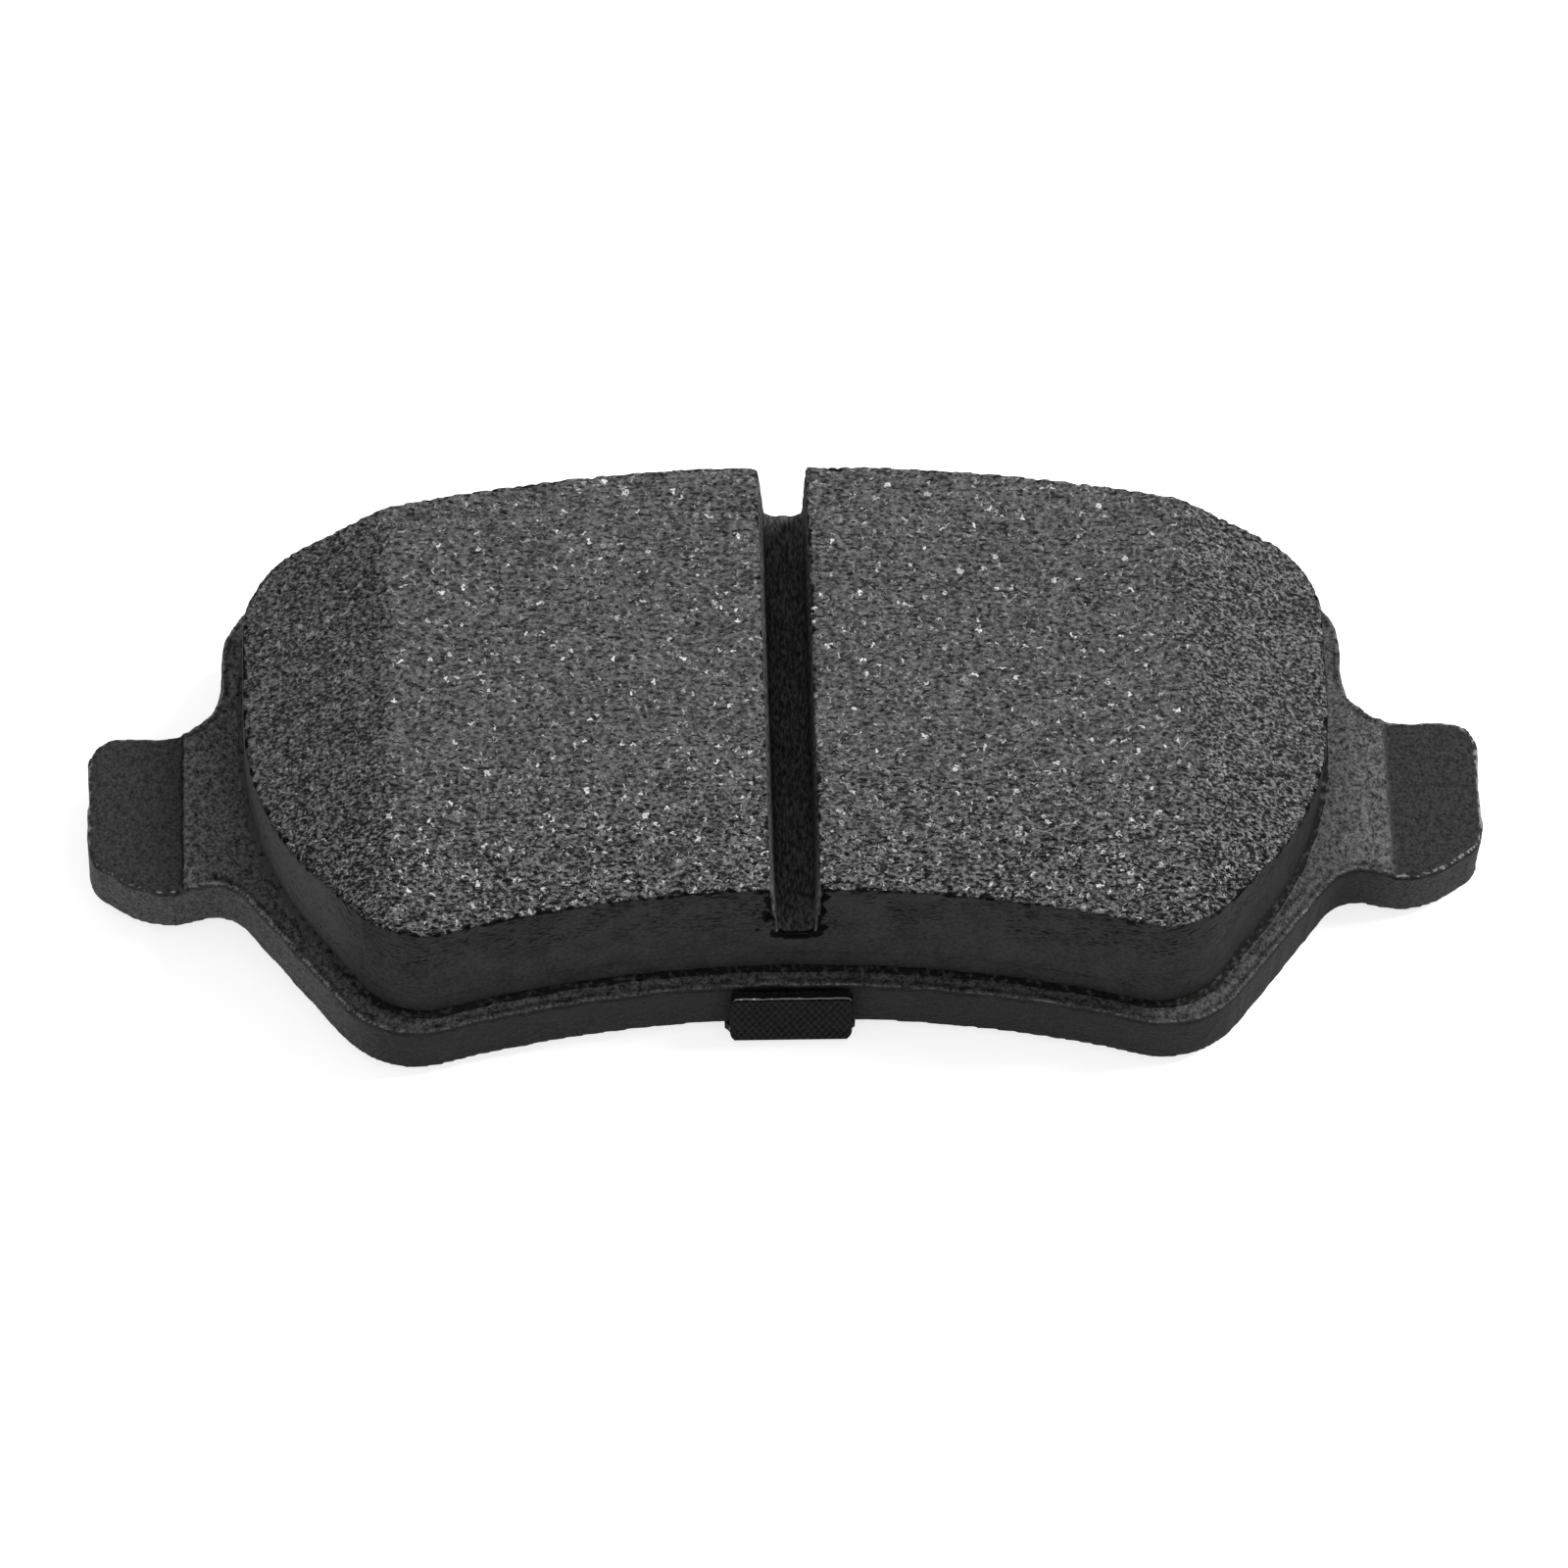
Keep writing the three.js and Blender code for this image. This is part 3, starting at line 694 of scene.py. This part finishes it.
def sheet_piece(node, name):
    """A layer of the shim, cut finely enough for the torn edges of its tabs."""
    low, high = (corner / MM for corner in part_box(node))
    piece = new_piece(name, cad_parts[node].data.copy())
    weld_skin(piece)
    cut_in_strips(piece, 0, low.x, high.x, STRIP)
    cut_in_strips(piece, 1, low.y, high.y, STRIP)
    cut_in_strips(piece, 0, -TAB_BAND, TAB_BAND, TAB_STRIP)
    tab_y = rotor_y + PLATE_INNER_RADIUS
    cut_in_strips(piece, 1, tab_y - 1, tab_y + BEND_REACH, BEND_STRIP)
    cut_in_strips(piece, 2, plate_low.z, high.z, LEG_STRIP)
    points, _ = read_mesh(piece)

    # The leg is narrow at its bend, wide half way up, and round at the two corners of its end.
    beyond = PLATE_INNER_RADIUS - np.hypot(points[:, 0], points[:, 1] - rotor_y)
    on_tab = (np.abs(points[:, 0]) < TAB_BLANK + 0.05) & (beyond > -BEND_REACH)
    still_flat = np.clip((BEND_REACH - beyond) / BEND_REACH, 0, 1)
    bend = TAB_WAIST + (TAB_ROOT - TAB_WAIST) * still_flat**2
    half_width = bend + (TAB_WIDEST - bend) * smooth_step(points[:, 2], *LEG_WIDENS)
    points[:, 0] *= np.where(on_tab, half_width / TAB_BLANK, 1)
    bulge = TAB_BULGE * (1 - points[:, 2] / high.z) * smooth_step(beyond, 0, BEND_REACH)
    points[:, 1] -= np.where(on_tab, bulge, 0)
    tab_end = smooth_step(points[:, 2], high.z - 0.5, high.z - 0.05)
    past_corner = np.clip(np.abs(points[:, 0]) - TAB_WIDEST + TAB_CORNER, 0, TAB_CORNER)
    corner_drop = TAB_CORNER - np.sqrt(TAB_CORNER**2 - past_corner**2)
    points[:, 2] -= np.where(on_tab, corner_drop * tab_end, 0)
    along_tear = points * (1, 0.3, 0.3)
    ragged = lumps(along_tear, 0.45, TEAR_SEED) + 0.5 * lumps(along_tear, 1.2, TEAR_SEED + 1)
    points[:, 2] += EDGE_BURR * ragged * tab_end
    write_points(piece, points)
    return piece


def rubber_finish(name):
    """Nitrile rubber with the weave of the cloth that it was pressed against."""
    material, place = new_finish(name)
    across = place.part("X")
    down = (place.part("Y") + place.part("Z")) * 0.5
    turn = 2 * math.pi / WEAVE_PITCH
    weave = across.maths("SINE", across * turn) * down.maths("SINE", down * turn)
    blotch = place.mottle(1.4, 3)
    fine = place.mottle(0.2, 2)
    level = 0.47 + weave * 0.26 + (blotch - 0.5) * 0.4 + (fine - 0.5) * 0.9
    tone = level.step(0, 1).paint(RUBBER_DARK, RUBBER_LIGHT)
    height = weave * 0.012 + fine * 0.03 + blotch * 0.03
    close_finish(material, tone, height, 0.7 + (blotch - 0.5) * 0.3, Specular_IOR_Level=0.01)
    return material


outer_skin = BVHTree.FromObject(
    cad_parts["shim_rubber_outer"], bpy.context.evaluated_depsgraph_get()
)
steel = sheet_piece("shim_steel", "shim_steel_sheet")
points, normals = read_mesh(steel)
gaps = [outer_skin.find_nearest(Vector(point) * MM)[3] for point in points.tolist()]
write_mask(steel, "burnished", np.array(gaps) < BURNISH_DEPTH * MM)
sheared, place = new_finish("sheared_steel")
burnish = place.mask("burnished")
tear = place.stretched(1, 0.4, 0.4).mottle(0.5, 2)
bright = (burnish + (tear - 0.5) * 0.9).step(0.3, 0.45)
tone = bright.paint(STEEL_DULL, STEEL_BRIGHT)
tone = (bright * place.mottle(0.4, 1).step(0.64, 0.7)).paint(tone, STEEL_GLINT)
close_finish(sheared, tone, tear * 0.05, 0.65 - bright * 0.25, Specular_IOR_Level=0.1)

outer_rubber = sheet_piece("shim_rubber_outer", "shim_outer_rubber")
inner_rubber = sheet_piece("shim_rubber_inner", "shim_inner_rubber")
for piece, node, finish, slot_name in (
    (inner_rubber, "shim_rubber_inner", rubber_finish("inner_rubber"), "shim_rubber"),
    (steel, "shim_steel", sheared, "shim_steel"),
    (outer_rubber, "shim_rubber_outer", rubber_finish("outer_rubber"), "shim_rubber"),
):
    dress(piece, finish)
    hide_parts(node)
    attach(piece, "root")


# Studio. A white acrylic table, lit a little from below as product tables are, under a soft lamp
# up and to the right in an even room.

FLOOR_SIDE = 6.0
FLOOR_GAP = 0.02  # the table lies this far under the pad, so that no faces coincide
FLOOR_DARK = (0.84, 0.84, 0.84, 1)
FLOOR_LIGHT = (0.88, 0.88, 0.88, 1)
FLOOR_GLOW = 0.7
LAMP_PLACE = Vector((0.85, 0.3, 0.95))
LAMP_SIDE = 0.5
LAMP_POWER = 13.5
ROOM_LIGHT = 0.45

floor_mesh = bpy.data.meshes.new("table_top")
half = FLOOR_SIDE / 2
corners = [(-half, -half, 0), (half, -half, 0), (half, half, 0), (-half, half, 0)]
floor_mesh.from_pydata(corners, [], [(0, 1, 2, 3)])
floor = new_piece("table_top", floor_mesh)
floor.location.z = -FLOOR_GAP * MM
table, place = new_finish("white_table")
paper = place.mottle(3, 2)
glow = {"Specular_IOR_Level": 0.1, "Emission_Color": (1, 1, 1, 1), "Emission_Strength": FLOOR_GLOW}
close_finish(table, paper.paint(FLOOR_DARK, FLOOR_LIGHT), paper * 0.01, 0.9, **glow)
dress(floor, table)

lamp_data = bpy.data.lights.new("softbox", "AREA")
lamp_data.shape = "SQUARE"
lamp_data.size = LAMP_SIDE
lamp_data.energy = LAMP_POWER
lamp = bpy.data.objects.new("softbox", lamp_data)
bpy.context.scene.collection.objects.link(lamp)
lamp.location = LAMP_PLACE
lamp.rotation_euler = (-LAMP_PLACE).to_track_quat("-Z", "Y").to_euler()

world = bpy.data.worlds.new("room")
world.use_nodes = True
world.node_tree.nodes["Background"].inputs["Color"].default_value = (1, 1, 1, 1)
world.node_tree.nodes["Background"].inputs["Strength"].default_value = ROOM_LIGHT
bpy.context.scene.world = world
bpy.context.scene.view_settings.view_transform = "Standard"


# Camera. A long lens, from well above the inner edge of the pad and a little to its left, held
# slightly out of level.

ELEVATION = math.radians(60.48)
AZIMUTH = math.radians(4.154)
ROLL = math.radians(-2.888)
DISTANCE = 693.4
LENS = 230.6
AIM = Vector((0.075, 1.602, 1.885))

sight = Vector((
    math.sin(AZIMUTH) * math.cos(ELEVATION),
    math.cos(AZIMUTH) * math.cos(ELEVATION),
    -math.sin(ELEVATION),
))
level_right = Vector((math.cos(AZIMUTH), -math.sin(AZIMUTH), 0))
level_up = level_right.cross(sight)
right = math.cos(ROLL) * level_right - math.sin(ROLL) * level_up
up = math.sin(ROLL) * level_right + math.cos(ROLL) * level_up
camera_data = bpy.data.cameras.new("camera")
camera_data.lens = LENS
camera_data.sensor_width = 36
camera_data.clip_end = 20
camera = bpy.data.objects.new("camera", camera_data)
bpy.context.scene.collection.objects.link(camera)
turn = Matrix((right, up, -sight)).transposed()
camera.matrix_world = Matrix.Translation((AIM - DISTANCE * sight) * MM) @ turn.to_4x4()
bpy.context.scene.camera = camera
